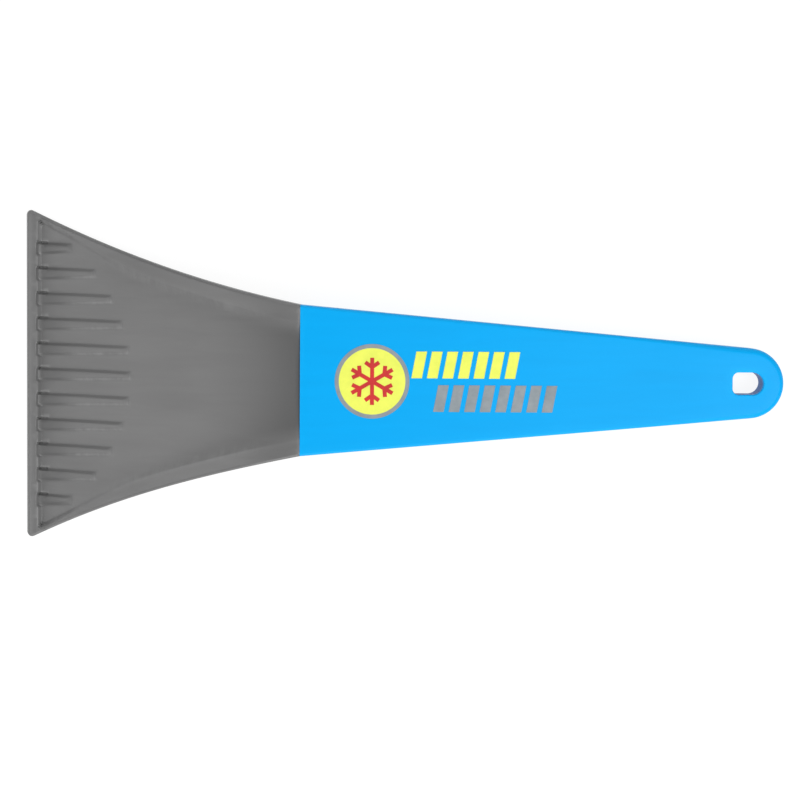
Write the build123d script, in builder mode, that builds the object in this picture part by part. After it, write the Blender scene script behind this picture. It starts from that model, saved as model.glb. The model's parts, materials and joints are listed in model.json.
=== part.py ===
from build123d import *

import math
import os

# Windshield ice scraper: a ribbed scoop head, plugged into a hollow handle with printing on its top face.
#
# Every sketch is laid out in one tool frame. Its x runs from the seam between head and handle towards the
# hanging end, its z is square to the handle's top face, and its origin is the middle of the seam there.
# The tool frame is leaned so that the scraper lies as it does on a table: on its blade edge and on the
# handle's tip. The model's origin is at the bottom centre of the box around it, +Z up.

# Head
head_length = 93.0          # blade edge to seam, along the tool
blade_half_width = 56.0
side_arc_radius = 380.0     # the hollow curve of each side edge, seen from above
blade_corner_radius = 1.5
seam_rim_width = 5.0        # flat band beside the scoop at the seam
blade_rim_width = 1.3
rim_narrows_from = 0.55     # where the band starts and ends narrowing, as shares of the head's length
rim_narrows_to = 0.95
rim_edge_radius = 0.9
lip_width = 4.1
lip_ramp = 1.4              # run of the slope from the lip down into the scoop
lip_ramp_rise = 1.8
blade_rake = 0.8            # how far the blade's upper corner stands back from its scraping edge
floor_thickness = 2.2
skirt_thickness = 2.4
bulkhead = 3.0              # closed wall of the head at the seam
web_stand_back = 1.0        # how far the webs stop short of the keel

# Heights below the handle's top face of four evenly spaced control points, from seam to blade.
rim_heights = (0.0, 0.0, -26.0, -26.5)
scoop_heights = (-0.8, -6.5, -26.1, -28.3)
keel_heights = (-12.0, -12.0, -27.5, -30.5)
scoop_flatness = 0.62       # how far the level middle of the scoop reaches towards the rims

# Comb of ribs behind the lip
rib_count = 11
rib_pitch = 8.45
rib_root_width = 4.0
rib_tip_width = 1.9
rib_root_height = -27.3     # top of a rib where it leaves the lip
rib_rise = 0.242            # climb of a rib's top per mm along it
comb_reach = -55.7          # where the middle rib ends
comb_arc_radius = 54.0      # arc on which the ribs end

# Handle
handle_length = 156.5
seam_half_width = 24.4
end_radius = 11.4
seam_depth = 12.0
end_depth = 8.0
handle_edge_radius = 2.0
wall = 2.2
core_length = 128.0
slot_centre = 144.7
slot_length = 10.0
slot_width = 7.2
slot_corner_radius = 2.0

# Tongue of the head inside the handle
plug_clearance = 0.15
tongue_length = 50.0
tongue_corner_radius = 3.0
fin_stand_back = 1.0        # how far the long fins stop short of the tongue's end
collar_length = 14.0
plate_thickness = 2.2
fin_thickness = 1.8
fin_offset = 11.0
web_length = 60.0
catch_start = 40.0
catch_length = 4.0
catch_width = 4.0
catch_bite = 1.6
catch_root = 1.0            # how far a tooth reaches up into its fin
window_margin = 0.3

# Printing
ink_thickness = 0.1
badge_centre = 23.2
badge_radius = 12.0
badge_border = 1.3
flake_radius = 7.6
flake_bar = 1.3
flake_arms = 6
branch_place = 0.6          # where an arm branches, as a share of its length
branch_length = 0.36        # length of a branch, as a share of the arm's
branch_angle = 55.0
bar_width = 3.4
bar_height = 8.6
bar_slant = 1.6
bar_gap = 1.6
yellow_row = (38.3, 5.4, 7)     # start along the handle, offset from its middle, number of bars
grey_row = (45.4, -5.4, 8)

blade_end = -head_length
margin = 5.0                # how far cutting shapes run past what they cut
recess_end = 0.8 * blade_end
keel_taper = (seam_depth - end_depth) / handle_length
end_centre = handle_length - end_radius
side_angle = math.atan2(seam_half_width, end_centre) - math.asin(
    end_radius / math.hypot(seam_half_width, end_centre)
)


def lean():
    """Angle in radians of the handle's top face to the table, with the blade and the handle's tip on it."""
    tip_x = handle_length - handle_edge_radius
    tip_z = -seam_depth + keel_taper * tip_x + handle_edge_radius * math.hypot(1, keel_taper)
    run = tip_x - blade_end
    rise = tip_z - keel_heights[-1]
    return math.atan2(rise, run) - math.asin(handle_edge_radius / math.hypot(run, rise))


def tool_frame():
    """The tool frame in the model's axes, set so that the box around the part is centred over the origin."""
    angle = lean()
    along = Vector(math.cos(angle), 0, -math.sin(angle))
    up = Vector(math.sin(angle), 0, math.cos(angle))
    blade_edge = along * blade_end + up * keel_heights[-1]
    tip_centre = along * (handle_length - handle_edge_radius) - up * handle_edge_radius
    middle = (blade_edge.X + tip_centre.X + handle_edge_radius) / 2
    return Plane(origin=(-middle, 0, -blade_edge.Z), x_dir=along, z_dir=up)


tool = tool_frame()
side = Plane(origin=tool.origin, x_dir=tool.x_dir, z_dir=(0, -1, 0))


def lengthwise(y):
    """Plane along the tool at y, with its own x along the tool and its own y up."""
    return Plane(origin=side.origin + Vector(0, y, 0), x_dir=side.x_dir, z_dir=side.z_dir)


def across(x):
    """Plane square to the tool's length at x, with its own x along +Y and its own y up."""
    return Plane(origin=tool.from_local_coords((x, 0, 0)), x_dir=(0, 1, 0), z_dir=tool.x_dir)


def controls(heights):
    """Control points of a long curve of the head, from the seam to the blade."""
    return [(blade_end * i / 3, height) for i, height in enumerate(heights)]


def height_at(heights, x):
    """Height of a long curve of the head at x."""
    u = x / blade_end
    v = 1 - u
    a, b, c, d = heights
    return a * v**3 + 3 * b * v**2 * u + 3 * c * v * u**2 + d * u**3


def head_half_width(x):
    """Half the width of the head at x, on the arc from the seam's corner to the blade's corner."""
    chord_x = blade_end
    chord_y = blade_half_width - seam_half_width
    chord = math.hypot(chord_x, chord_y)
    stand_off = math.sqrt(side_arc_radius**2 - (chord / 2) ** 2)
    centre_x = chord_x / 2 + stand_off * chord_y / chord
    centre_y = seam_half_width + chord_y / 2 - stand_off * chord_x / chord
    return centre_y - math.sqrt(side_arc_radius**2 - (x - centre_x) ** 2)


def rim_width(x):
    """Width of the flat band between the scoop and the head's side at x."""
    share = (x / blade_end - rim_narrows_from) / (rim_narrows_to - rim_narrows_from)
    share = min(max(share, 0), 1)
    eased = share * share * (3 - 2 * share)
    return seam_rim_width + (blade_rim_width - seam_rim_width) * eased


def handle_half_width(x):
    """Half the width of the handle's straight taper at x."""
    return seam_half_width - x * math.tan(side_angle)


def core_half_width(x):
    """Half the width of the handle's hollow core at x."""
    return handle_half_width(x) - wall


def core_floor(x):
    """Height of the bottom of the handle's hollow core at x."""
    return -seam_depth + wall + keel_taper * x


def is_rim_edge(edge):
    """True for the long edges of the head's top, along its sides and its front."""
    place = tool.to_local_coords(edge.center())
    at_top = abs(place.Z - height_at(rim_heights, place.X)) < rim_edge_radius
    return at_top and abs(place.Y) > seam_rim_width and edge.length > blade_half_width / 2


def scoop_section(x, half_width, drop, top):
    """Sketch of the scoop's curved floor at x, lowered by drop, and closed at height top."""
    rim = height_at(rim_heights, x) - drop
    depth = height_at(rim_heights, x) - height_at(scoop_heights, x)
    belly = rim - depth * 4 / 3
    flat = half_width * scoop_flatness
    with BuildSketch(across(x)) as section:
        with BuildLine():
            Bezier((-half_width, rim), (-flat, belly), (flat, belly), (half_width, rim))
            Polyline((half_width, rim), (half_width, top), (-half_width, top), (-half_width, rim))
        make_face()
    return section.sketch


def scoop_loft(start, end, count, inset, drop, top):
    """Sections of the scoop's floor from start to end, inside the head's sides by inset(x)."""
    stations = [start + (end - start) * i / (count - 1) for i in range(count)]
    return [scoop_section(x, head_half_width(x) - inset(x), drop, top) for x in stations]


# ---- Scraper head ----

with BuildPart() as ribs:
    for i in range(rib_count):
        y = (i - (rib_count - 1) / 2) * rib_pitch
        tip_x = comb_reach - comb_arc_radius + math.sqrt(comb_arc_radius**2 - y**2)
        ends = ((blade_end, rib_root_width), (tip_x, rib_tip_width))
        for x, width in ends:
            top = rib_root_height + rib_rise * (x - blade_end - lip_width)
            with BuildSketch(across(x)):
                with Locations((y, top - seam_depth / 2)):
                    Rectangle(width, seam_depth)
        loft(ruled=True)

with BuildPart() as scoop_cutter:
    scoop_end = blade_end + lip_width + lip_ramp
    loft(scoop_loft(0, scoop_end, 9, rim_width, 0, seam_depth))
    ramp_foot = (scoop_end, 0, 0)
    ramp_top = (scoop_end - lip_ramp, lip_ramp, lip_ramp_rise)
    for x, inset, lift in (ramp_foot, ramp_top):
        half = head_half_width(scoop_end) - rim_width(scoop_end) - inset
        floor = height_at(scoop_heights, scoop_end) + lift
        with BuildSketch(across(x)):
            with Locations((0, floor + seam_depth / 2)):
                Rectangle(2 * half, seam_depth)
    loft(ruled=True)
    add(ribs.part, mode=Mode.SUBTRACT)

with BuildPart() as recess_cutter:
    open_bottom = keel_heights[-1] - seam_depth
    sections = scoop_loft(-bulkhead, recess_end, 5, lambda x: skirt_thickness, floor_thickness, open_bottom)
    loft(sections)

with BuildPart() as head:
    with BuildSketch(side):
        with BuildLine():
            Bezier(*controls(rim_heights))
            Line((blade_end, rim_heights[-1]), (blade_end, keel_heights[-1]))
            Bezier(*reversed(controls(keel_heights)))
            Line((0, keel_heights[0]), (0, rim_heights[0]))
        make_face()
    extrude(amount=blade_half_width + margin, both=True)
    with BuildSketch(tool.offset(keel_heights[-1] - margin)):
        ends_x = (margin, blade_end / 2, blade_end - margin)
        arc_points = [(x, head_half_width(x)) for x in ends_x]
        outside = blade_half_width + 2 * margin
        with BuildLine():
            ThreePointArc(*arc_points)
            Polyline(arc_points[2], (blade_end - margin, outside), (margin, outside), arc_points[0])
        make_face()
        mirror(about=Plane.XZ)
    extrude(amount=2 * margin - keel_heights[-1], mode=Mode.SUBTRACT)
    blade_corners = edges().filter_by(Axis(tool.origin, tool.z_dir)).group_by(Axis.X)[0]
    fillet(blade_corners, radius=blade_corner_radius)
    with BuildSketch(side):
        with BuildLine():
            blade_edge = (blade_end, keel_heights[-1])
            above = rim_heights[-1] + margin
            raked = blade_rake * (above - keel_heights[-1]) / (rim_heights[-1] - keel_heights[-1])
            Polyline(blade_edge, (blade_end + raked, above), (blade_end, above), close=True)
        make_face()
    extrude(amount=blade_half_width + margin, both=True, mode=Mode.SUBTRACT)
    fillet(edges().filter_by(is_rim_edge), radius=rim_edge_radius)
    add(scoop_cutter.part, mode=Mode.SUBTRACT)
    add(recess_cutter.part, mode=Mode.SUBTRACT)
    # Webs under the scoop, from the bulkhead to where the floor comes down to them
    for y in (-fin_offset, 0, fin_offset):
        with BuildSketch(lengthwise(y)):
            with BuildLine():
                stations = (-bulkhead / 2, -web_length / 2, -web_length)
                feet = [(x, height_at(keel_heights, x) + web_stand_back) for x in stations]
                tops = [(x, height_at(scoop_heights, x) - floor_thickness / 2) for x in stations]
                Polyline(*feet, *reversed(tops), close=True)
            make_face()
        extrude(amount=fin_thickness / 2, both=True)
    # Tongue: a plate under the handle's top wall, with fins that reach the handle's bottom wall
    with BuildSketch(tool.offset(-wall - plug_clearance)):
        root = core_half_width(0) - plug_clearance
        tip = core_half_width(tongue_length) - plug_clearance
        inner = -bulkhead / 2
        Polygon((inner, -root), (tongue_length, -tip), (tongue_length, tip), (inner, root), align=None)
        fillet(vertices().group_by(Axis.X)[-1], radius=tongue_corner_radius)
    extrude(amount=-plate_thickness)
    collar = (root + core_half_width(collar_length) - plug_clearance) / 2 - fin_thickness
    fins = [(y, tongue_length - fin_stand_back) for y in (-fin_offset, 0, fin_offset)]
    fins += [(y, collar_length) for y in (-collar, collar)]
    for y, length in fins:
        with BuildSketch(lengthwise(y)):
            with BuildLine():
                top = -wall - plug_clearance - plate_thickness / 2
                Polyline(
                    (inner, top),
                    (length, top),
                    (length, core_floor(length) + plug_clearance),
                    (inner, core_floor(inner) + plug_clearance),
                    close=True,
                )
            make_face()
        extrude(amount=fin_thickness / 2, both=True)
    # Catch teeth under the two outer fins
    for y in (-fin_offset, fin_offset):
        with BuildSketch(lengthwise(y)):
            with BuildLine():
                tooth_root = core_floor(catch_start) + catch_root
                tooth_tip = core_floor(catch_start) - catch_bite
                Polyline(
                    (catch_start, tooth_root),
                    (catch_start, tooth_tip),
                    (catch_start + catch_length / 3, tooth_tip),
                    (catch_start + catch_length, tooth_root),
                    close=True,
                )
            make_face()
        extrude(amount=catch_width / 2, both=True)

# ---- Handle ----

with BuildPart() as handle:
    with BuildSketch(tool):
        with BuildLine():
            tangent_x = end_centre + end_radius * math.sin(side_angle)
            tangent_y = end_radius * math.cos(side_angle)
            ThreePointArc((tangent_x, tangent_y), (handle_length, 0), (tangent_x, -tangent_y))
            Polyline(
                (tangent_x, -tangent_y),
                (0, -seam_half_width),
                (0, seam_half_width),
                (tangent_x, tangent_y),
            )
        make_face()
    extrude(amount=-seam_depth)
    with BuildSketch(side):
        with BuildLine():
            low = -seam_depth - margin
            over = handle_length + margin
            Polyline(
                (-margin, -seam_depth - keel_taper * margin),
                (over, -seam_depth + keel_taper * over),
                (over, low),
                (-margin, low),
                close=True,
            )
        make_face()
    extrude(amount=2 * seam_half_width, both=True, mode=Mode.SUBTRACT)
    seam_face = faces().sort_by(Axis.X)[0]
    long_edges = edges().filter_by(Axis(tool.origin, tool.z_dir), reverse=True) - seam_face.edges()
    fillet(long_edges, radius=handle_edge_radius)
    # Hollow core, open at the seam
    core = []
    for x in (-margin, core_length):
        with BuildSketch(across(x), mode=Mode.PRIVATE) as core_section:
            with Locations((0, (core_floor(x) - wall) / 2)):
                Rectangle(2 * core_half_width(x), -wall - core_floor(x))
        core.append(core_section.sketch)
    loft(core, ruled=True, mode=Mode.SUBTRACT)
    # Hanging slot: round at the end that hangs, squarer at the other
    with BuildSketch(tool.offset(margin)):
        with Locations((slot_centre + (slot_length - slot_width) / 2, 0)):
            Circle(slot_width / 2)
        square_length = slot_length - slot_width / 2
        with Locations((slot_centre - slot_length / 2 + square_length / 2, 0)):
            Rectangle(square_length, slot_width)
        fillet(vertices().group_by(Axis.X)[0], radius=slot_corner_radius)
    extrude(amount=-seam_depth - 2 * margin, mode=Mode.SUBTRACT)
    # Windows for the catch teeth in the underside
    with BuildSketch(tool.offset(-seam_depth - margin)):
        with Locations(
            (catch_start + catch_length / 2, -fin_offset),
            (catch_start + catch_length / 2, fin_offset),
        ):
            Rectangle(catch_length + 2 * window_margin, catch_width + 2 * window_margin)
    extrude(amount=margin + 2 * wall, mode=Mode.SUBTRACT)

# ---- Printing on the handle's top face: one film for each ink ----

slanted_bar = (
    (-bar_width / 2 - bar_slant / 2, -bar_height / 2),
    (bar_width / 2 - bar_slant / 2, -bar_height / 2),
    (bar_width / 2 + bar_slant / 2, bar_height / 2),
    (-bar_width / 2 + bar_slant / 2, bar_height / 2),
)

with BuildPart() as ink_yellow:
    with BuildSketch(tool):
        with Locations((badge_centre, 0)):
            Circle(badge_radius - badge_border)
        start, offset_y, count = yellow_row
        with Locations([(start + i * (bar_width + bar_gap), offset_y) for i in range(count)]):
            Polygon(*slanted_bar, align=None)
    extrude(amount=ink_thickness)

with BuildPart() as ink_grey:
    with BuildSketch(tool):
        with Locations((badge_centre, 0)):
            Circle(badge_radius)
            Circle(badge_radius - badge_border, mode=Mode.SUBTRACT)
        start, offset_y, count = grey_row
        with Locations([(start + i * (bar_width + bar_gap), offset_y) for i in range(count)]):
            Polygon(*slanted_bar, align=None)
    extrude(amount=ink_thickness)

with BuildPart() as ink_red:
    with BuildSketch(tool.offset(ink_thickness)):
        with Locations((badge_centre, 0)):
            for i in range(flake_arms):
                arm = Rot(0, 0, (i + 0.5) * 360 / flake_arms)
                with Locations(arm * Pos(flake_radius / 2, 0)):
                    Rectangle(flake_radius, flake_bar)
                for turn in (branch_angle, -branch_angle):
                    with Locations(arm * Pos(flake_radius * branch_place, 0) * Rot(0, 0, turn)):
                        Rectangle(flake_radius * branch_length, flake_bar, align=(Align.MIN, Align.CENTER))
    extrude(amount=ink_thickness / 2)

# ---- Export ----

nodes = {
    "scraper_head": head,
    "handle_sleeve": handle,
    "ink_yellow": ink_yellow,
    "ink_grey": ink_grey,
    "ink_red": ink_red,
}
os.makedirs("parts", exist_ok=True)
for name, node in nodes.items():
    node.part.label = name
    export_step(node.part, f"parts/{name}.step")
    print(name, round(node.part.volume, 1), len(node.part.solids()), node.part.is_valid)
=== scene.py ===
import json
import math

import bmesh
import bpy
import numpy as np
from mathutils import Matrix, Vector
from mathutils.geometry import delaunay_2d_cdt
from mathutils.kdtree import KDTree


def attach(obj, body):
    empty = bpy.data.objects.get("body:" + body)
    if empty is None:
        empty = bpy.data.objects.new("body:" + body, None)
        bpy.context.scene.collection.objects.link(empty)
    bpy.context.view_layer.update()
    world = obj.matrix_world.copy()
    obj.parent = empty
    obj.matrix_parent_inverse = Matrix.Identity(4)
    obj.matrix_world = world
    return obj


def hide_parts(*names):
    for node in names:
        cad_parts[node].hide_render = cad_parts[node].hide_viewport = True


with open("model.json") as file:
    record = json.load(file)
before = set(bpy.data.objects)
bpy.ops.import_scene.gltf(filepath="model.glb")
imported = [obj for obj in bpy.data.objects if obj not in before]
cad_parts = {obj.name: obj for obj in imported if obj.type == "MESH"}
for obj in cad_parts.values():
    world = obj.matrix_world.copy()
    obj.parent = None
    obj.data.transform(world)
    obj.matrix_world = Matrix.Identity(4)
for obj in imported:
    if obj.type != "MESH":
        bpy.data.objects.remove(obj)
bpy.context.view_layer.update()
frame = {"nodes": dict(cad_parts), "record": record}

# Windshield ice scraper: the two mouldings as detailed meshes, and the printing with ink materials.
#
# Shapes are worked out in millimetres in the tool frame. x runs from the seam between head and handle
# towards the hanging end, z is square to the handle's top face, and the origin is the middle of the seam
# on that face.

MM = 0.001

# ---- Sizes, in mm, as in the CAD model ----

HEAD_LENGTH = 93.0
BLADE_HALF_WIDTH = 56.0
SIDE_ARC_RADIUS = 380.0
BLADE_CORNER_RADIUS = 1.5
BLADE_RAKE = 0.8
SEAM_RIM_WIDTH = 5.0
BLADE_RIM_WIDTH = 1.3
RIM_NARROWS_FROM = 0.55
RIM_NARROWS_TO = 0.95
LIP_WIDTH = 4.1
LIP_RAMP = 1.4
FLOOR_THICKNESS = 2.2
SKIRT_THICKNESS = 2.4
BULKHEAD = 3.0
RIM_HEIGHTS = (0.0, 0.0, -26.0, -26.5)
SCOOP_HEIGHTS = (-0.8, -6.5, -26.1, -28.3)
KEEL_HEIGHTS = (-12.0, -12.0, -27.5, -30.5)
SCOOP_FLATNESS = 0.62

RIB_COUNT = 11
RIB_PITCH = 8.45
RIB_ROOT_WIDTH = 4.0
RIB_TIP_WIDTH = 1.9
RIB_ROOT_HEIGHT = -27.3
RIB_RISE = 0.242
COMB_REACH = -55.7
COMB_ARC_RADIUS = 54.0

HANDLE_LENGTH = 156.5
SEAM_HALF_WIDTH = 24.4
END_RADIUS = 11.4
SEAM_DEPTH = 12.0
END_DEPTH = 8.0
HANDLE_EDGE_RADIUS = 2.0
WALL = 2.2
CORE_LENGTH = 128.0
SLOT_CENTRE = 144.7
SLOT_LENGTH = 10.0
SLOT_WIDTH = 7.2
SLOT_CORNER_RADIUS = 2.0

PLUG_CLEARANCE = 0.15
TONGUE_LENGTH = 50.0
COLLAR_LENGTH = 14.0
PLATE_THICKNESS = 2.2
FIN_THICKNESS = 1.8
FIN_OFFSET = 11.0
FIN_STAND_BACK = 1.0
WEB_LENGTH = 60.0
CATCH_START = 40.0
CATCH_LENGTH = 4.0
CATCH_WIDTH = 4.0
CATCH_BITE = 1.6
CATCH_ROOT = 1.0
WINDOW_MARGIN = 0.3
CUT_MARGIN = 5.0

# Soft edges and walls that only the looks need
SEAM_BEVEL = 0.18
TOP_EDGE_RADIUS = 1.0       # the handle's top edge, and the head's beside the seam
TOP_EDGE_FADE = (100.0, 150.0)  # between these places it grows to the radius at the handle's tip
SKIN = 0.002                # the head's top stays this far inside the CAD's
BLADE_EDGE_RADIUS = 1.1
HEAD_EDGE_FADE = 30.0       # length from the seam over which the head's edge takes that radius
KEEL_EDGE_RADIUS = 0.4
SLOT_EDGE_RADIUS = 0.5
RIM_WALL_RUN = 1.6          # run of the scoop's wall beside the rim, near the lip
POCKET_DEPTH = 1.3          # depth of the scoop beside the rim, at the lip
POCKET_FADE = -70.0         # where that wall has faded into the scoop's own curve
POCKET_CORNER = 0.9         # rounding of the pocket's corner, as a share of the wall's run
SCOOP_BLUR = 0.06           # softening of the scoop's cross-section, as a share of its half width
BAND_DROP = 0.3             # how far the rim's band slopes down towards the scoop
BAND_EDGE = 1.1             # width of the level edge outside that band
CREASE_DEPTH = 0.02         # fine crease between that band and the scoop
CREASE_WIDTH = 0.45
RIB_START = 0.4             # how far in front of the lip's slope a rib starts
RIB_ROOT_RUN = 1.0          # run of a rib's walls at the lip
RIB_TIP_RUN = 1.6           # and at its end
RIB_TIP_RAMP = 3.2          # run of the slope at a rib's end
RIB_ROOT_RELIEF = 0.7       # how far a rib stands above the scoop at the lip
RIB_TIP_RELIEF = 0.5        # and near its end
NOTCH_LENGTH = 3.4          # the lip's slope is cut away beside each rib
NOTCH_WIDTH = 0.8
NOTCH_DEPTH = 0.2
NOTCH_RUN = 0.4
SCALLOP_DEPTH = 0.6         # the lip's inner edge is set back this far at each rib
SCALLOP_HALF_WIDTH = 1.7
SCALLOP_RUN = 1.0
STEEP_RUN = 0.5             # run of the steep walls under the head
RECESS_CORNER = 1.5         # rounding of the corners of the recess under the head
WEB_FOOT = 1.0              # how far above the keel the webs under the scoop stop
PLATE_EDGE_RADIUS = 0.3
FIN_EDGE_RADIUS = 0.2
TOOTH_EDGE_RADIUS = 0.15

# Mesh: spacing of points in plan, in mm, and points along a line
OUTLINE_POINTS = 110
SEAM_POINTS = 40
CROSS_POINTS = 60
WALL_STEPS = 4
CORNER_SPACING = 0.35
COMB_SPACING = 0.8
HEAD_SPACING = 1.4
HANDLE_SPACING = 2.2
CRISP_ANGLE = 38            # degrees: edges sharper than this stay sharp

# Wear, painted highlights and painted shade. A strength is a share from 0 to 1, and a reach or a run is in
# mm
LIP_WEAR = 0.7
# Painted highlight along the lip's inner edge
LIP_EDGE_HIGHLIGHT = 0.35
LIP_EDGE_REACH = 0.4
GAP_PLACE = 0.8             # painted highlight on the lip's slope between the ribs, paler towards the far side
GAP_REACH = 0.5
GAP_HIGHLIGHT_NEAR = 0.2
POCKET_WALL_PLACE = 0.7     # painted highlight on the pocket's wall beside the rim
POCKET_WALL_REACH = 0.6
POCKET_WALL_START = 5.0
POCKET_WALL_FADE = 14.0
SCOOP_WALL_LIGHT = 0.5       # painted light on the scoop's own wall, between the pocket and the seam, lifting its shade
SCOOP_WALL_PLACE = 1.3
SCOOP_WALL_REACH = 1.6
RIM_WEAR = 0.5
RIM_WEAR_REACH = 1.0
RIB_CREST_REACH = 0.5       # painted highlight on the near crest of each rib, stronger towards its tip
RIB_CREST_START = 6.0
RIB_CREST_FADE = 12.0
NOTCH_HIGHLIGHT = 0.9            # painted highlight on the edge of the notch beside each rib's root
NOTCH_HIGHLIGHT_PLACE = 0.9
NOTCH_HIGHLIGHT_REACH = 0.3
TROUGH_SHADE_FADE = 38.0          # painted shade: the scoop is darker towards the seam over this length
TROUGH_SHADE_RUN = 6.0
ROOT_SHADE = 0.95            # painted shade: each rib is darker at its root
ROOT_SHADE_HALF_WIDTH = 1.6
ROOT_SHADE_START = 1.5
ROOT_SHADE_FADE = 13.0
COMB_HALF_WIDTH = 45.0
POCKET_SHADE = 0.5           # painted shade: the pocket is darker just behind the lip
POCKET_SHADE_START = 1.2
POCKET_SHADE_FADE = 6.0
HANDLE_EDGE_WEAR = 0.25
HANDLE_EDGE_REACH = 1.4
SLOT_WEAR = 0.6
SLOT_WEAR_REACH = 0.9
SEAM_WEAR = 0.3
SEAM_WEAR_REACH = 0.6

# Looks of each plastic: colour, darker streak, worn edge (with painted highlights on the head), and painted
# shade for deep places
GREY = (0.121, 0.121, 0.121, 1)
GREY_SHADE = (0.098, 0.098, 0.098, 1)
GREY_WORN_AND_HIGHLIGHT = (0.185, 0.185, 0.185, 1)
GREY_PAINTED_SHADE = (0.076, 0.076, 0.076, 1)
GREY_ROUGHNESS = 0.40
GREY_SPECULAR = 0.5
BLUE = (0.0, 0.318, 0.705, 1)
BLUE_SHADE = (0.0, 0.295, 0.66, 1)
BLUE_WORN = (0.01, 0.41, 0.83, 1)
BLUE_PAINTED_SHADE = (0.0, 0.12, 0.36, 1)
BLUE_ROUGHNESS = 0.38
BLUE_SPECULAR = 0.10
INK_LOOKS = {
    "ink_yellow": ((0.68, 0.72, 0.09, 1), (0.60, 0.66, 0.08, 1)),
    "ink_grey": ((0.22, 0.25, 0.27, 1), (0.17, 0.20, 0.22, 1)),
    "ink_red": ((0.50, 0.012, 0.012, 1), (0.38, 0.01, 0.01, 1)),
}
INK_SPECULAR = 0.4

# Camera: its place, and the point it looks at, in the tool frame
CAMERA_PLACE = (19.5, 34.0, 545.0)
CAMERA_AIM = (32.1, 9.5, 0.0)
CAMERA_ROLL = 0.455         # degrees
CAMERA_LENS = 76.47
CAMERA_SHIFT = -0.06

# Studio: a pale floor lit from below, as a light table is, and four soft lights (place, aim, size, power)
FLOOR_HALF_SIZE = 3.0
FLOOR_GLOW = 0.90
FLOOR_TINTS = ((0.12, 0.12, 0.12, 1), (0.14, 0.14, 0.14, 1))
FLOOR_ROUGHNESS = 0.8
FLOOR_SPECULAR = 0.2
WORLD_STRENGTH = 0.28
LIGHTS = {
    "right": ((0.50, -0.20, 0.75), (0.02, 0, 0), 0.6, 6.0),
    "left": ((-0.75, -0.05, 0.75), (0, 0, 0), 0.7, 3.6),
    "near": ((0.15, -0.85, 0.55), (0, 0, 0), 0.6, 5.5),
    "far": ((0.05, 0.90, 0.60), (0, 0, 0), 0.7, 2.8),
}

BLADE_X = -HEAD_LENGTH
LIP_X = BLADE_X + LIP_WIDTH
RECESS_END = 0.8 * BLADE_X
KEEL_TAPER = (SEAM_DEPTH - END_DEPTH) / HANDLE_LENGTH
END_CENTRE = HANDLE_LENGTH - END_RADIUS
SIDE_ANGLE = math.atan2(SEAM_HALF_WIDTH, END_CENTRE) - math.asin(
    END_RADIUS / math.hypot(SEAM_HALF_WIDTH, END_CENTRE)
)


# ---- Tool frame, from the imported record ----

def tool_matrix():
    """Takes tool-frame millimetres to the row's metres."""
    mounts = {m["name"]: m for m in frame["record"]["mounts"]}
    slot = mounts["hanging_slot"]
    up = Vector(slot["axis"]).normalized()
    side = Vector((0, 1, 0))
    along = side.cross(up)
    origin = Vector(slot["pos_m"]) - along * SLOT_CENTRE * MM
    turn = Matrix((along, side, up)).transposed().to_4x4()
    return Matrix.Translation(origin) @ turn @ Matrix.Scale(MM, 4)


TOOL = tool_matrix()


# ---- Shape functions, on numpy arrays ----

def smooth(u):
    """From 0 to 1 as u goes from 0 to 1, level at both ends."""
    u = np.clip(u, 0, 1)
    return u * u * (3 - 2 * u)


def cubic(heights, x):
    """Height of one of the head's long curves at x."""
    u = x / BLADE_X
    v = 1 - u
    a, b, c, d = heights
    return a * v**3 + 3 * b * v**2 * u + 3 * c * v * u**2 + d * u**3


def side_circle():
    """Centre of the circle that the head's side edge lies on."""
    rise = BLADE_HALF_WIDTH - SEAM_HALF_WIDTH
    chord = math.hypot(BLADE_X, rise)
    stand_off = math.sqrt(SIDE_ARC_RADIUS**2 - (chord / 2) ** 2)
    x = BLADE_X / 2 + stand_off * rise / chord
    y = SEAM_HALF_WIDTH + rise / 2 - stand_off * BLADE_X / chord
    return x, y


CIRCLE_X, CIRCLE_Y = side_circle()


def head_half_width(x):
    return CIRCLE_Y - np.sqrt(SIDE_ARC_RADIUS**2 - (x - CIRCLE_X) ** 2)


def rim_width(x):
    """Width of the band between the scoop and the head's side."""
    share = (x / BLADE_X - RIM_NARROWS_FROM) / (RIM_NARROWS_TO - RIM_NARROWS_FROM)
    return SEAM_RIM_WIDTH + (BLADE_RIM_WIDTH - SEAM_RIM_WIDTH) * smooth(share)


def round_drop(distance, radius):
    """How far a rounded edge lies below its face, at a distance in from the outline."""
    d = np.clip(distance, 0, radius)
    return radius - np.sqrt(np.maximum(radius**2 - (radius - d) ** 2, 0))


def corner_min(a, b, radius):
    """The smaller of two distances, with a rounded corner where both are small."""
    inside = np.hypot(np.maximum(radius - a, 0), np.maximum(radius - b, 0))
    return np.where((a < radius) & (b < radius), radius - inside, np.minimum(a, b))


def scoop_share(eta):
    """Depth of the scoop's cross-section as a share of its middle, at eta of the way to the rim."""
    t = np.linspace(0.5, 1, 300)
    f = SCOOP_FLATNESS
    across = t**3 - (1 - t) ** 3 + 3 * f * t * (1 - t) * (2 * t - 1)
    share = 4 * t * (1 - t)
    reach = np.linspace(-SCOOP_BLUR, SCOOP_BLUR, 13)
    return sum(np.interp(np.abs(eta) + r, across, share, right=0) for r in reach) / len(reach)


def head_edge_distance(x, y, front):
    """Distance in from the head's outline, with rounded blade corners."""
    from_side = np.hypot(x - CIRCLE_X, np.abs(y) - CIRCLE_Y) - SIDE_ARC_RADIUS
    return corner_min(from_side, x - front, BLADE_CORNER_RADIUS)


def head_edge_radius(x):
    """Radius of the head's top edge: the handle's at the seam, and the blade's further out."""
    share = smooth(-x / HEAD_EDGE_FADE)
    return TOP_EDGE_RADIUS + (BLADE_EDGE_RADIUS - TOP_EDGE_RADIUS) * share


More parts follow.
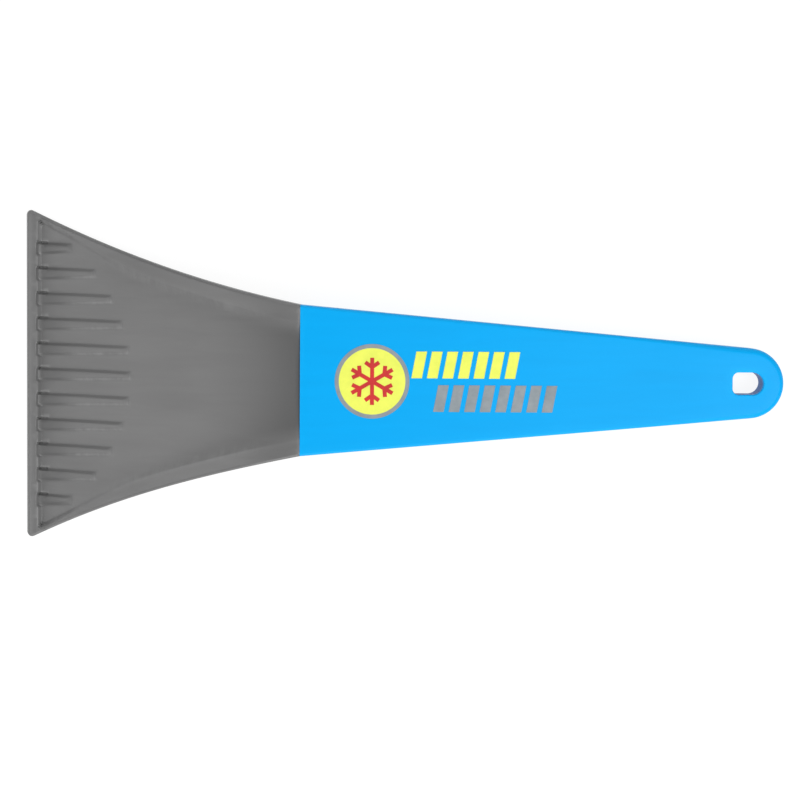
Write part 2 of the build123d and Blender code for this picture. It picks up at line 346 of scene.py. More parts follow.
def scallop(y):
    """How far the lip's inner edge is set back towards the blade at y."""
    from_rib = np.abs((y / RIB_PITCH + 0.5) % 1 - 0.5) * RIB_PITCH
    last = (RIB_COUNT // 2 + 0.4) * RIB_PITCH
    set_back = 1 - smooth((from_rib - SCALLOP_HALF_WIDTH) / SCALLOP_RUN)
    return SCALLOP_DEPTH * set_back * (np.abs(y) < last)


def scoop_floor(x, y):
    """Top surface of the head without its ribs and rounded edges."""
    half = head_half_width(x)
    from_side = half - np.abs(y)
    inner = half - rim_width(x)
    from_scoop = inner - np.abs(y)
    rim = cubic(RIM_HEIGHTS, x)
    band = rim - BAND_DROP * smooth((from_side - BAND_EDGE) / (SEAM_RIM_WIDTH - BAND_EDGE))
    depth = (rim - cubic(SCOOP_HEIGHTS, x)) * scoop_share(y / inner)
    fade = 1 - smooth((x - LIP_X) / (POCKET_FADE - LIP_X))
    depth = np.maximum(depth, POCKET_DEPTH * fade)
    from_lip = x - LIP_X + scallop(y)
    wall = smooth(corner_min(from_lip / LIP_RAMP, from_scoop / RIM_WALL_RUN, POCKET_CORNER))
    crease = CREASE_DEPTH * (1 - fade) * np.exp(-((from_scoop / CREASE_WIDTH) ** 2))
    band = np.where(x < LIP_X, rim, rim + (band - rim) * smooth((x - LIP_X) / LIP_RAMP))
    return band - depth * wall - crease


def rib_tip(y):
    """Where the rib at y ends."""
    return COMB_REACH - COMB_ARC_RADIUS + math.sqrt(COMB_ARC_RADIUS**2 - y**2)


def rib_half_width(x, tip):
    """Half the width of a rib at x."""
    share = (x - BLADE_X) / (tip - BLADE_X)
    return (RIB_ROOT_WIDTH + (RIB_TIP_WIDTH - RIB_ROOT_WIDTH) * share) / 2


RIB_ROOT_X = LIP_X - RIB_START
RIB_ROWS = [(i - (RIB_COUNT - 1) / 2) * RIB_PITCH for i in range(RIB_COUNT)]


def rib_run(x, tip):
    """Run of a rib's side walls at x."""
    return RIB_ROOT_RUN + (RIB_TIP_RUN - RIB_ROOT_RUN) * np.clip((x - LIP_X) / (tip - LIP_X), 0, 1)


def head_top(x, y):
    """Top surface of the head."""
    z = scoop_floor(x, y)
    rib_top = RIB_ROOT_HEIGHT + RIB_RISE * (x - LIP_X)
    pit = cubic(SCOOP_HEIGHTS, x) - BAND_DROP - NOTCH_DEPTH
    for row in RIB_ROWS:
        tip = rib_tip(row)
        from_rib = y - row - rib_half_width(x, tip)
        beside = np.minimum(from_rib + NOTCH_RUN, NOTCH_WIDTH - from_rib)
        along = np.minimum(x - LIP_X, LIP_X + NOTCH_LENGTH - x)
        z = z - np.maximum(z - pit, 0) * smooth(np.minimum(beside, along) / NOTCH_RUN)
        across = (rib_half_width(x, tip) - np.abs(y - row)) / rib_run(x, tip) + 0.5
        root = (x - RIB_ROOT_X) / RIB_ROOT_RUN + 0.5
        end = (tip - x) / RIB_TIP_RAMP
        standing = smooth(np.minimum(np.minimum(across, root), end))
        share = np.clip((x - LIP_X) / (tip - LIP_X), 0, 1)
        relief = RIB_ROOT_RELIEF + (RIB_TIP_RELIEF - RIB_ROOT_RELIEF) * share
        z = z + np.clip(rib_top - z, 0, relief) * standing
    z = z - round_drop(head_edge_distance(x, y, BLADE_X + BLADE_RAKE), head_edge_radius(x))
    return z - round_drop(-x, SEAM_BEVEL) - SKIN


def head_bottom(x, y):
    """Underside of the head."""
    keel = cubic(KEEL_HEIGHTS, x)
    ceiling = scoop_floor(x, y) - FLOOR_THICKNESS
    inward = head_half_width(x) - SKIRT_THICKNESS - np.abs(y)
    inward = corner_min(inward, -BULKHEAD - x, RECESS_CORNER)
    inward = corner_min(inward, x - RECESS_END, RECESS_CORNER)
    z = keel + np.maximum(ceiling - keel, 0) * smooth(inward / STEEP_RUN)
    web_foot = keel + WEB_FOOT
    for row in (-FIN_OFFSET, 0, FIN_OFFSET):
        inward = np.minimum(FIN_THICKNESS / 2 - np.abs(y - row), x + WEB_LENGTH)
        standing = smooth(inward / STEEP_RUN + 0.5)
        z = z - np.maximum(z - web_foot, 0) * standing
    z = z + round_drop(head_edge_distance(x, y, BLADE_X), KEEL_EDGE_RADIUS)
    return z + round_drop(-x, SEAM_BEVEL)


def handle_half_width(x):
    return SEAM_HALF_WIDTH - x * math.tan(SIDE_ANGLE)


def handle_edge_distance(x, y):
    """Distance in from the handle's outline, without the seam."""
    taper = (handle_half_width(x) - np.abs(y)) * math.cos(SIDE_ANGLE)
    around = END_RADIUS - np.hypot(x - END_CENTRE, y)
    past = (x - END_CENTRE) * math.cos(SIDE_ANGLE) - np.abs(y) * math.sin(SIDE_ANGLE) > 0
    return np.where(past, around, taper)


def slot_distance(x, y):
    """Distance out from the hanging slot's edge."""
    round_centre = SLOT_CENTRE + (SLOT_LENGTH - SLOT_WIDTH) / 2
    square_x = SLOT_CENTRE - SLOT_LENGTH / 2 + SLOT_CORNER_RADIUS
    square_y = SLOT_WIDTH / 2 - SLOT_CORNER_RADIUS
    to_round = np.hypot(x - round_centre, y) - SLOT_WIDTH / 2
    dx = np.maximum(square_x - x, 0)
    dy = np.maximum(np.abs(y) - square_y, 0)
    to_square = np.hypot(dx, dy) - SLOT_CORNER_RADIUS
    return np.where(x > round_centre, to_round, to_square)


def top_edge_radius(x):
    """Radius of the handle's top edge: fine beside the seam, and larger at the tip."""
    start, end = TOP_EDGE_FADE
    return TOP_EDGE_RADIUS + (HANDLE_EDGE_RADIUS - TOP_EDGE_RADIUS) * smooth((x - start) / (end - start))


def bottom_edge_radius(x):
    """Radius of the handle's edge on its underside, the same all round."""
    return np.full(len(x), HANDLE_EDGE_RADIUS)


def handle_top(x, y):
    z = -round_drop(handle_edge_distance(x, y), top_edge_radius(x))
    z = z - round_drop(slot_distance(x, y), SLOT_EDGE_RADIUS)
    return z - round_drop(x, SEAM_BEVEL)


def handle_bottom(x, y):
    z = -SEAM_DEPTH + KEEL_TAPER * x + round_drop(handle_edge_distance(x, y), HANDLE_EDGE_RADIUS)
    z = z + round_drop(slot_distance(x, y), SLOT_EDGE_RADIUS)
    return z + round_drop(x, SEAM_BEVEL)


# ---- Outlines in plan ----

def inset(points, distances):
    """The points of an open line, each moved to its left by its own distance."""
    p = np.array(points)
    tangent = np.gradient(p, axis=0)
    tangent /= np.linalg.norm(tangent, axis=1)[:, None]
    normal = np.column_stack((-tangent[:, 1], tangent[:, 0]))
    return p + normal * np.broadcast_to(distances, len(p))[:, None]


def arc_points(centre, radius, start, end, count):
    angles = np.linspace(start, end, count)
    return np.column_stack((centre[0] + radius * np.cos(angles), centre[1] + radius * np.sin(angles)))


def head_rim_line(front):
    """The head's outline from the seam, round the blade and back to the seam, anticlockwise."""
    xs = np.linspace(0, 1, OUTLINE_POINTS)
    corner = np.array((front, head_half_width(front)))
    radial = (corner - (CIRCLE_X, CIRCLE_Y)) / SIDE_ARC_RADIUS
    towards_seam = np.array((-radial[1], radial[0]))
    towards_seam *= np.sign(towards_seam[0])
    half_turn = math.acos(-towards_seam[1]) / 2
    reach = BLADE_CORNER_RADIUS / math.tan(half_turn)
    bisector = towards_seam + (0, -1)
    bisector /= np.linalg.norm(bisector)
    centre = corner + bisector * BLADE_CORNER_RADIUS / math.sin(half_turn)
    side_end = corner + towards_seam * reach
    side_x = side_end[0] * xs[:-1]
    side = np.column_stack((side_x, head_half_width(side_x)))
    start = math.atan2(side_end[1] - centre[1], side_end[0] - centre[0])
    corner_arc = arc_points(centre, BLADE_CORNER_RADIUS, start, math.pi, 9)
    front_y = np.linspace(corner_arc[-1, 1], 0, CROSS_POINTS)[1:]
    front_line = np.column_stack((np.full(len(front_y), front), front_y))
    upper = np.vstack((side, corner_arc, front_line))
    lower = upper[-2::-1] * (1, -1)
    return np.vstack((upper, lower))


def handle_rim_line():
    """The handle's outline from the seam, round the tip and back to the seam, anticlockwise."""
    tangent = (END_CENTRE + END_RADIUS * math.sin(SIDE_ANGLE), -END_RADIUS * math.cos(SIDE_ANGLE))
    share = np.linspace(0, 1, OUTLINE_POINTS)[:-1, None]
    straight = np.array((0, -SEAM_HALF_WIDTH)) * (1 - share) + np.array(tangent) * share
    tip = arc_points((END_CENTRE, 0), END_RADIUS, SIDE_ANGLE - math.pi / 2, 0, 28)
    lower = np.vstack((straight, tip))
    upper = lower[-2::-1] * (1, -1)
    return np.vstack((lower, upper))


def slot_line(out):
    """A closed line at a distance out from the hanging slot's edge, anticlockwise."""
    round_centre = (SLOT_CENTRE + (SLOT_LENGTH - SLOT_WIDTH) / 2, 0)
    square_x = SLOT_CENTRE - SLOT_LENGTH / 2 + SLOT_CORNER_RADIUS
    square_y = SLOT_WIDTH / 2 - SLOT_CORNER_RADIUS
    right = arc_points(round_centre, SLOT_WIDTH / 2 + out, -math.pi / 2, math.pi / 2, 41)
    upper = arc_points((square_x, square_y), SLOT_CORNER_RADIUS + out, math.pi / 2, math.pi, 13)
    lower = arc_points((square_x, -square_y), SLOT_CORNER_RADIUS + out, math.pi, 1.5 * math.pi, 13)
    return np.vstack((right, upper, lower))


# ---- Meshes ----

class Plan:
    """Points and lines in plan that a surface is stretched over."""

    def __init__(self):
        self.points = []
        self.lines = []

    def line(self, points, closed=False):
        """Adds a line that triangles follow, and returns the numbers of its points."""
        first = len(self.points)
        self.points += [tuple(p) for p in points]
        numbers = list(range(first, len(self.points)))
        self.lines += zip(numbers[:-1], numbers[1:])
        if closed:
            self.lines.append((numbers[-1], numbers[0]))
        return numbers

    def fill(self, spacing, inside):
        """Adds a staggered grid of points where inside(x, y) is true, clear of those already there."""
        tree = KDTree(len(self.points))
        for i, (x, y) in enumerate(self.points):
            tree.insert((x, y, 0), i)
        tree.balance()
        low, high = np.min(self.points, axis=0), np.max(self.points, axis=0)
        row_step = spacing * math.sqrt(0.75)
        for j, y in enumerate(np.arange(low[1], high[1], row_step)):
            xs = np.arange(low[0] + (j % 2) * spacing / 2, high[0], spacing)
            for x in xs[inside(xs, np.full(len(xs), y))]:
                if tree.find((x, y, 0))[2] > 0.6 * spacing:
                    self.points.append((x, y))

    def surface(self, height, keep):
        """Triangulates the plan, lifts it by height(x, y), and returns vertices, faces and a number map."""
        result = delaunay_2d_cdt([Vector(p) for p in self.points], self.lines, [], 1, 1e-6)
        flat = np.array([tuple(v) for v in result[0]])
        faces = np.array(result[2])
        middle = flat[faces].mean(axis=1)
        faces = faces[keep(middle[:, 0], middle[:, 1])]
        number = {}
        for new, olds in enumerate(result[3]):
            for old in olds:
                number[old] = new
        lifted = np.column_stack((flat, height(flat[:, 0], flat[:, 1])))
        return lifted, faces, number


def closed_solid(name, top, bottom, rings):
    """Joins a top and a bottom surface along pairs of matching rings, with a few steps down each wall."""
    mesh = bmesh.new()
    sheets = []
    for (points, faces, number), flip in ((top, False), (bottom, True)):
        verts = [mesh.verts.new(p) for p in points]
        for face in faces:
            corners = [verts[i] for i in face]
            mesh.faces.new(corners[::-1] if flip else corners)
        sheets.append((verts, number))
    (upper, upper_number), (lower, lower_number) = sheets
    for top_ring, bottom_ring in rings:
        columns = []
        for a, b in zip(top_ring, bottom_ring):
            high, low = upper[upper_number[a]], lower[lower_number[b]]
            shares = [k / WALL_STEPS for k in range(1, WALL_STEPS)]
            between = [mesh.verts.new(high.co.lerp(low.co, share)) for share in shares]
            columns.append([high, *between, low])
        for left, right in zip(columns, columns[1:] + columns[:1]):
            for k in range(WALL_STEPS):
                mesh.faces.new((left[k], left[k + 1], right[k + 1], right[k]))
    loose = [v for v in mesh.verts if not v.link_faces]
    bmesh.ops.delete(mesh, geom=loose, context="VERTS")
    bmesh.ops.recalc_face_normals(mesh, faces=mesh.faces[:])
    return to_object(name, mesh)


def to_object(name, mesh):
    """A new object from a bmesh in tool-frame millimetres."""
    mesh.transform(TOOL)
    data = bpy.data.meshes.new(name)
    mesh.to_mesh(data)
    mesh.free()
    data.polygons.foreach_set("use_smooth", [True] * len(data.polygons))
    obj = bpy.data.objects.new(name, data)
    bpy.context.scene.collection.objects.link(obj)
    return obj


def box_solid(name, corners, radius=0.0):
    """A closed solid from 8 corners, four at each end, with its edges rounded."""
    mesh = bmesh.new()
    verts = [mesh.verts.new(c) for c in corners]
    for quad in ((0, 1, 2, 3), (7, 6, 5, 4), (0, 4, 5, 1), (1, 5, 6, 2), (2, 6, 7, 3), (3, 7, 4, 0)):
        mesh.faces.new([verts[i] for i in quad])
    bmesh.ops.recalc_face_normals(mesh, faces=mesh.faces[:])
    if radius:
        bmesh.ops.bevel(mesh, geom=mesh.edges[:], offset=radius, segments=3, profile=0.5, affect="EDGES")
    return to_object(name, mesh)


def combine(target, others, operation):
    """Applies a boolean of the other solids to the target, and removes them."""
    for other in others:
        modifier = target.modifiers.new(other.name, "BOOLEAN")
        modifier.operation = operation
        modifier.solver = "EXACT"
        modifier.object = other
    graph = bpy.context.evaluated_depsgraph_get()
    data = bpy.data.meshes.new_from_object(target.evaluated_get(graph))
    target.modifiers.clear()
    old, target.data = target.data, data
    data.name = target.name
    bpy.data.meshes.remove(old)
    for other in others:
        bpy.data.objects.remove(other)


def crisp(obj, degrees):
    """Smooth shading, except across edges sharper than an angle."""
    obj.data.polygons.foreach_set("use_smooth", [True] * len(obj.data.polygons))
    obj.data.set_sharp_from_angle(angle=math.radians(degrees))


ROUND_STEPS = [math.radians(a) for a in (15, 30, 45, 62, 80, 90)]


# ---- Head ----

def seam_points(rim, edge_radius):
    """Points along the seam between the two ends of a rim line, closer over the rounded corners."""
    corner = [SEAM_HALF_WIDTH - edge_radius * (1 - math.cos(a)) for a in ROUND_STEPS]
    straight = np.linspace(corner[-1], -corner[-1], SEAM_POINTS)[1:-1]
    ys = np.array(corner + list(straight) + [-y for y in corner[::-1]])
    if rim[-1][1] < 0:
        ys = -ys
    return np.column_stack((np.zeros(len(ys)), ys))


def edge_lines(plan, rim, radii):
    """Adds lines over the rounded edge that runs along a rim line."""
    for angle in ROUND_STEPS:
        line = inset(rim, radii * (1 - math.cos(angle)))
        line[0][0] = line[-1][0] = 0
        plan.line(line)


def scoop_wall_line(share):
    """A line part way down the wall between the scoop and the lip and rims."""
    run_x = LIP_X + LIP_RAMP * share
    run_y = RIM_WALL_RUN * share
    xs = np.linspace(POCKET_FADE, run_x + LIP_RAMP * POCKET_CORNER, 24)
    side = np.column_stack((xs, head_half_width(xs) - rim_width(xs) - run_y))
    corner_y = head_half_width(run_x) - rim_width(run_x) - run_y
    across = corner_y - RIM_WALL_RUN * POCKET_CORNER
    front_y = np.linspace(across, 0, 160)
    front = np.column_stack((run_x - scallop(front_y), front_y))
    upper = np.vstack((side, front))
    return np.vstack((upper, upper[-2::-1] * (1, -1)))


def rib_line(row, share):
    """A closed line round a rib, part way down its wall: share is -0.5 at the top and 0.5 at the foot."""
    tip = rib_tip(row)
    start = RIB_ROOT_X - share * RIB_ROOT_RUN
    xs = np.linspace(start, tip - RIB_TIP_RAMP * (0.5 - share), 40)
    half = rib_half_width(xs, tip) + share * rib_run(xs, tip)
    right = np.column_stack((xs, row - half))
    left = np.column_stack((xs[::-1], row + half[::-1]))
    return np.vstack((right, left))


def head_surface(height, front, radii, features):
    """One face of the head, with the numbers of its outline's points."""
    plan = Plan()
    rim = head_rim_line(front)
    seam = seam_points(rim, TOP_EDGE_RADIUS)
    ring = plan.line(np.vstack((rim, seam)), closed=True)
    edge_lines(plan, rim, radii(rim[:, 0]))
    for x in (-SEAM_BEVEL * 0.3, -SEAM_BEVEL):
        ys = np.linspace(-1, 1, CROSS_POINTS) * (head_half_width(x) - 0.02)
        plan.line(np.column_stack((np.full(CROSS_POINTS, x), ys)))
    for line, closed in features:
        plan.line(line, closed)

    def in_comb(x, y):
        return (head_edge_distance(x, y, front) > 0.5) & (x < COMB_REACH + 4) & (x > LIP_X)

    def in_plan(x, y):
        return (head_edge_distance(x, y, front) > 1.0) & (x < -0.5)

    def in_pocket_corner(x, y):
        from_side = head_half_width(x) - np.abs(y)
        return (np.abs(x - LIP_X - 1.2) < 2.4) & (np.abs(from_side - 3.2) < 2.2)

    plan.fill(CORNER_SPACING, in_pocket_corner)
    plan.fill(COMB_SPACING, in_comb)
    plan.fill(HEAD_SPACING, in_plan)
    surface = plan.surface(height, lambda x, y: np.full(len(x), True))
    return surface, ring


def make_head():
    features = [(scoop_wall_line(share), False) for share in (0, 0.25, 0.5, 0.75, 1)]
    for row in RIB_ROWS:
        for share in (-0.5, -0.25, 0, 0.25, 0.5):
            features.append((rib_line(row, share), True))
        edge = row + RIB_ROOT_WIDTH / 2
        for step in (0, 0.5, 1):
            out = NOTCH_RUN * step
            xs = np.linspace(LIP_X + out, LIP_X + NOTCH_LENGTH - out, 16)
            features.append((np.column_stack((xs, np.full(16, edge + NOTCH_WIDTH - out))), False))
            ys = np.linspace(edge, edge + NOTCH_WIDTH - out, 8)
            features.append((np.column_stack((np.full(8, xs[-1]), ys)), False))
    for out in (-1.2, -0.6, -0.3, 0, 0.3, 0.8, 1.6):
        xs = np.linspace(-1, POCKET_FADE, 60)
        for sign in (1, -1):
            ys = sign * (head_half_width(xs) - rim_width(xs) + out)
            features.append((np.column_stack((xs, ys)), False))
    top, top_ring = head_surface(head_top, BLADE_X + BLADE_RAKE, head_edge_radius, features)

    under = []
    for share in (0, 0.33, 0.67, 1):
        run = STEEP_RUN * share
        xs = np.linspace(-BULKHEAD - run, RECESS_END + run, 80)
        half = head_half_width(xs) - SKIRT_THICKNESS - run
        upper = np.column_stack((xs, half))
        under.append((np.vstack((upper, upper[::-1] * (1, -1))), True))
        for row in (-FIN_OFFSET, 0, FIN_OFFSET):
            y = FIN_THICKNESS / 2 + STEEP_RUN * (share - 0.5)
            xs = np.linspace(-BULKHEAD, -WEB_LENGTH, 50)
            for sign in (1, -1):
                under.append((np.column_stack((xs, np.full(50, row + sign * y))), False))

    def keel_radius(x):
        return np.full(len(x), KEEL_EDGE_RADIUS)

    bottom, bottom_ring = head_surface(head_bottom, BLADE_X, keel_radius, under)
    return closed_solid("head_moulding", top, bottom, [(top_ring, bottom_ring)])


# ---- Handle ----

def handle_surface(height, radii):
    """One face of the handle, with the numbers of its outline's and its slot's points."""
    plan = Plan()
    rim = handle_rim_line()
    seam = seam_points(rim, radii(np.zeros(1))[0])
    ring = plan.line(np.vstack((rim, seam)), closed=True)
    edge_lines(plan, rim, radii(rim[:, 0]))
    slot = plan.line(slot_line(0), closed=True)
    for angle in ROUND_STEPS:
        plan.line(slot_line(SLOT_EDGE_RADIUS * (1 - math.cos(angle))), closed=True)
    for x in (SEAM_BEVEL * 0.3, SEAM_BEVEL):
        ys = np.linspace(-1, 1, CROSS_POINTS) * (handle_half_width(x) - 0.02)
        plan.line(np.column_stack((np.full(CROSS_POINTS, x), ys)))

    def in_plan(x, y):
        clear = (handle_edge_distance(x, y) > radii(x) + 0.8) & (x > 0.6)
        return clear & (slot_distance(x, y) > SLOT_EDGE_RADIUS + 0.5)

    plan.fill(HANDLE_SPACING, in_plan)
    surface = plan.surface(height, lambda x, y: slot_distance(x, y) > 0)
    return surface, ring, slot


def make_handle():
    top, top_ring, top_slot = handle_surface(handle_top, top_edge_radius)
    bottom, bottom_ring, bottom_slot = handle_surface(handle_bottom, bottom_edge_radius)
    rings = [(top_ring, bottom_ring), (top_slot, bottom_slot)]
    return closed_solid("handle_moulding", top, bottom, rings)


# ---- Tongue, catches and hollow ----

def core_half_width(x):
    return handle_half_width(x) - WALL


def core_floor(x):
    return -SEAM_DEPTH + WALL + KEEL_TAPER * x


def tapered_box(name, ends, radius):
    """A closed solid between two cross-sections, each given as x, half width, middle, bottom and top."""
    corners = []
    for x, half, middle, low, high in ends:
        left, right = middle - half, middle + half
        corners += [(x, left, low), (x, right, low), (x, right, high), (x, left, high)]
    return box_solid(name, corners, radius)


def tongue_solids():
    """The plate, fins and catch teeth that plug into the handle."""
    inner = -BULKHEAD / 2
    top = -WALL - PLUG_CLEARANCE
    plate = [
        (x, core_half_width(max(x, 0)) - PLUG_CLEARANCE, 0, top - PLATE_THICKNESS, top)
        for x in (inner, TONGUE_LENGTH)
    ]
    solids = [tapered_box("plate", plate, PLATE_EDGE_RADIUS)]
    collar = core_half_width(COLLAR_LENGTH / 2) - PLUG_CLEARANCE - FIN_THICKNESS
    fins = [(y, TONGUE_LENGTH - FIN_STAND_BACK) for y in (-FIN_OFFSET, 0, FIN_OFFSET)]
    fins += [(y, COLLAR_LENGTH) for y in (-collar, collar)]
    for y, length in fins:
        ends = [
            (x, FIN_THICKNESS / 2, y, core_floor(x) + PLUG_CLEARANCE, top - PLATE_THICKNESS / 2)
            for x in (inner, length)
        ]
        solids.append(tapered_box("fin", ends, FIN_EDGE_RADIUS))
    for y in (-FIN_OFFSET, FIN_OFFSET):
        root = core_floor(CATCH_START) + CATCH_ROOT
        tip = core_floor(CATCH_START) - CATCH_BITE
        profile = (
            (CATCH_START, root),
            (CATCH_START, tip),
            (CATCH_START + CATCH_LENGTH / 3, tip),
            (CATCH_START + CATCH_LENGTH, root),
        )
        corners = [(x, y + side * CATCH_WIDTH / 2, z) for side in (-1, 1) for x, z in profile]
        solids.append(box_solid("tooth", corners, TOOTH_EDGE_RADIUS))
    return solids


def handle_cutters():
    """The hollow core, open at the seam, and the windows for the catch teeth."""
    core = [(x, core_half_width(x), 0, core_floor(x), -WALL) for x in (-CUT_MARGIN, CORE_LENGTH)]
    cutters = [tapered_box("core", core, 0.0)]
    middle = CATCH_START + CATCH_LENGTH / 2
    half = CATCH_LENGTH / 2 + WINDOW_MARGIN
    low, high = -SEAM_DEPTH - CUT_MARGIN, -SEAM_DEPTH + 2 * WALL
    for y in (-FIN_OFFSET, FIN_OFFSET):
        ends = [(x, half, y, low, high) for x in (middle - half, middle + half)]
        cutters.append(tapered_box("window", ends, 0.0))
    return cutters


# ---- Materials ----

def mark(obj, name, shares):
    """Writes a share from 0 to 1 for each vertex as an attribute that the materials read."""
    attribute = obj.data.attributes.new(name, "FLOAT", "POINT")
    attribute.data.foreach_set("value", np.clip(shares, 0, 1).astype(np.float32))


def tool_points(obj):
    """An object's vertices in tool-frame millimetres."""
    flat = np.empty(len(obj.data.vertices) * 3)
    obj.data.vertices.foreach_get("co", flat)
    inverse = np.array(TOOL.inverted())
    return flat.reshape(-1, 3) @ inverse[:3, :3].T + inverse[:3, 3]


def bell(distance, reach):
    """1 at no distance, falling away on both sides."""
    return np.exp(-((distance / reach) ** 2))


def rib_highlights(x, y):
    """Painted highlights on the ribs: the near crest towards each tip, and the edge of the notch at each
    root.
    """
    wear_and_highlight = np.zeros(len(x))
    for row in RIB_ROWS:
        tip = rib_tip(row)
        below = row - y - rib_half_width(x, tip)
        near_tip = smooth((x - LIP_X - RIB_CREST_START) / RIB_CREST_FADE) * smooth((tip - x) / 1.5)
        wear_and_highlight = np.maximum(wear_and_highlight, bell(below, RIB_CREST_REACH) * near_tip)
        above = y - row - rib_half_width(x, tip) - NOTCH_HIGHLIGHT_PLACE
        at_root = (1 - smooth((x - LIP_X - NOTCH_LENGTH) / 1.5)) * smooth((x - LIP_X - 0.5) / 0.5)
        wear_and_highlight = np.maximum(wear_and_highlight, NOTCH_HIGHLIGHT * bell(above, NOTCH_HIGHLIGHT_REACH) * at_root)
    return wear_and_highlight


def head_wear_and_highlights(x, y, z):
    """Paler places on the head: wear on the lip and rims, painted highlights on the lip's inner edge and
    slopes, the pocket's wall and the ribs, and painted light lifting the shade on the scoop's walls.
    """
    lip = LIP_WEAR * (1 - smooth((x - BLADE_X) / LIP_WIDTH))
    lip_edge = LIP_EDGE_HIGHLIGHT * bell(x - LIP_X, LIP_EDGE_REACH)
    far_side = GAP_HIGHLIGHT_NEAR + (1 - GAP_HIGHLIGHT_NEAR) * smooth((y - 8) / 30)
    gap = bell(x - LIP_X - GAP_PLACE, GAP_REACH) * far_side
    from_scoop = head_half_width(x) - rim_width(x) - np.abs(y)
    pocket = bell(from_scoop - POCKET_WALL_PLACE, POCKET_WALL_REACH)
    pocket = pocket * (1 - smooth((x - LIP_X - POCKET_WALL_START) / POCKET_WALL_FADE))
    pocket = pocket * smooth((x - LIP_X) / 0.6)
    wall = SCOOP_WALL_LIGHT * bell(from_scoop - SCOOP_WALL_PLACE, SCOOP_WALL_REACH)
    wall = wall * smooth((-x - 4) / 20) * smooth((x + 72) / 14)
    near_top = smooth((z - cubic(RIM_HEIGHTS, x) + 2) / 1.6)
    from_edge = head_edge_distance(x, y, BLADE_X)
    rim = RIM_WEAR * (1 - smooth(from_edge / RIM_WEAR_REACH)) * near_top
    wear_and_highlight = np.maximum.reduce((lip, lip_edge, gap, pocket, wall, rim, rib_highlights(x, y)))
    return np.where(x < 0, wear_and_highlight, 0)


def head_painted_shade(x, y):
    """Painted shade on the head: darker over the scoop near the seam, at the ribs' roots and in the pocket
    behind the lip.
    """
    from_scoop = head_half_width(x) - rim_width(x) - np.abs(y)
    trough = smooth(from_scoop / TROUGH_SHADE_RUN) * (1 - smooth(-x / TROUGH_SHADE_FADE)) * (x < 0)
    across = np.abs((y / RIB_PITCH + 0.5) % 1 - 0.5) * RIB_PITCH
    root = (1 - smooth((across - ROOT_SHADE_HALF_WIDTH) / 0.6)) * smooth((x - LIP_X + 0.6) / 0.4)
    root = ROOT_SHADE * root * (1 - smooth((x - LIP_X - ROOT_SHADE_START) / ROOT_SHADE_FADE))
    root = root * (np.abs(y) < COMB_HALF_WIDTH)
    pocket = POCKET_SHADE * (1 - smooth((x - LIP_X - POCKET_SHADE_START) / POCKET_SHADE_FADE))
    pocket = pocket * smooth((x - LIP_X - 1.0) / 0.6)
    return np.maximum.reduce((trough, root, pocket))


def handle_wear(x, y, z):
    """Paler places on the handle: its top edge, the slot's edge and the seam."""
    edge = HANDLE_EDGE_WEAR * (1 - smooth(handle_edge_distance(x, y) / HANDLE_EDGE_REACH))
    edge = edge * smooth((z + 2.5) / 2.0)
    slot = SLOT_WEAR * (1 - smooth(slot_distance(x, y) / SLOT_WEAR_REACH)) * smooth((z + 0.8) / 0.6)
    seam = SEAM_WEAR * (1 - smooth(x / SEAM_WEAR_REACH))
    return np.maximum.reduce((edge, slot, seam))


def handle_painted_shade(x, y, z):
    """Painted shade on the handle: the slot's inner wall is darker."""
    return (1 - smooth(slot_distance(x, y) / 0.3)) * smooth((-z - 0.4) / 0.8)


class Nodes:
    """A material's node tree, with short ways to add to it."""

    def __init__(self, name):
        self.material = bpy.data.materials.new(name)
        self.material.use_nodes = True
        self.tree = self.material.node_tree
        self.tree.nodes.clear()
        output = self.tree.nodes.new("ShaderNodeOutputMaterial")
        self.shader = self.tree.nodes.new("ShaderNodeBsdfPrincipled")
        self.tree.links.new(self.shader.outputs[0], output.inputs[0])
        self.place = self.tree.nodes.new("ShaderNodeTexCoord").outputs["Object"]

    def set(self, node, values):
        for key, value in values.items():
            if isinstance(value, bpy.types.NodeSocket):
                self.tree.links.new(value, node.inputs[key])
            else:
                node.inputs[key].default_value = value

    def noise(self, scale, stretch=(1, 1, 1), detail=3.0, roughness=0.5, distortion=0.0):
        mapping = self.tree.nodes.new("ShaderNodeMapping")
        self.set(mapping, {"Vector": self.place, "Scale": stretch})
        node = self.tree.nodes.new("ShaderNodeTexNoise")
        values = {"Vector": mapping.outputs[0], "Scale": scale, "Detail": detail}
        values.update({"Roughness": roughness, "Distortion": distortion})
        self.set(node, values)
        return node.outputs[0]

    def remap(self, value, low, high, to_low, to_high):
        node = self.tree.nodes.new("ShaderNodeMapRange")
        values = {"Value": value, "From Min": low, "From Max": high}
        values.update({"To Min": to_low, "To Max": to_high})
        self.set(node, values)
        return node.outputs[0]

    def math(self, operation, a, b):
        node = self.tree.nodes.new("ShaderNodeMath")
        node.operation = operation
        self.set(node, {0: a, 1: b})
        return node.outputs[0]

    def mix(self, share, a, b):
        node = self.tree.nodes.new("ShaderNodeMix")
        node.data_type = "RGBA"
        self.set(node, {0: share, 6: a, 7: b})
        return node.outputs[2]

    def attribute(self, name):
        node = self.tree.nodes.new("ShaderNodeAttribute")
        node.attribute_name = name
        return node.outputs["Fac"]

    def bump(self, height, strength, distance, normal=None):
        node = self.tree.nodes.new("ShaderNodeBump")
        self.set(node, {"Height": height, "Strength": strength, "Distance": distance})
        if normal is not None:
            self.set(node, {"Normal": normal})
        return node.outputs[0]

    def finish(self, values):
        self.set(self.shader, values)
        return self.material


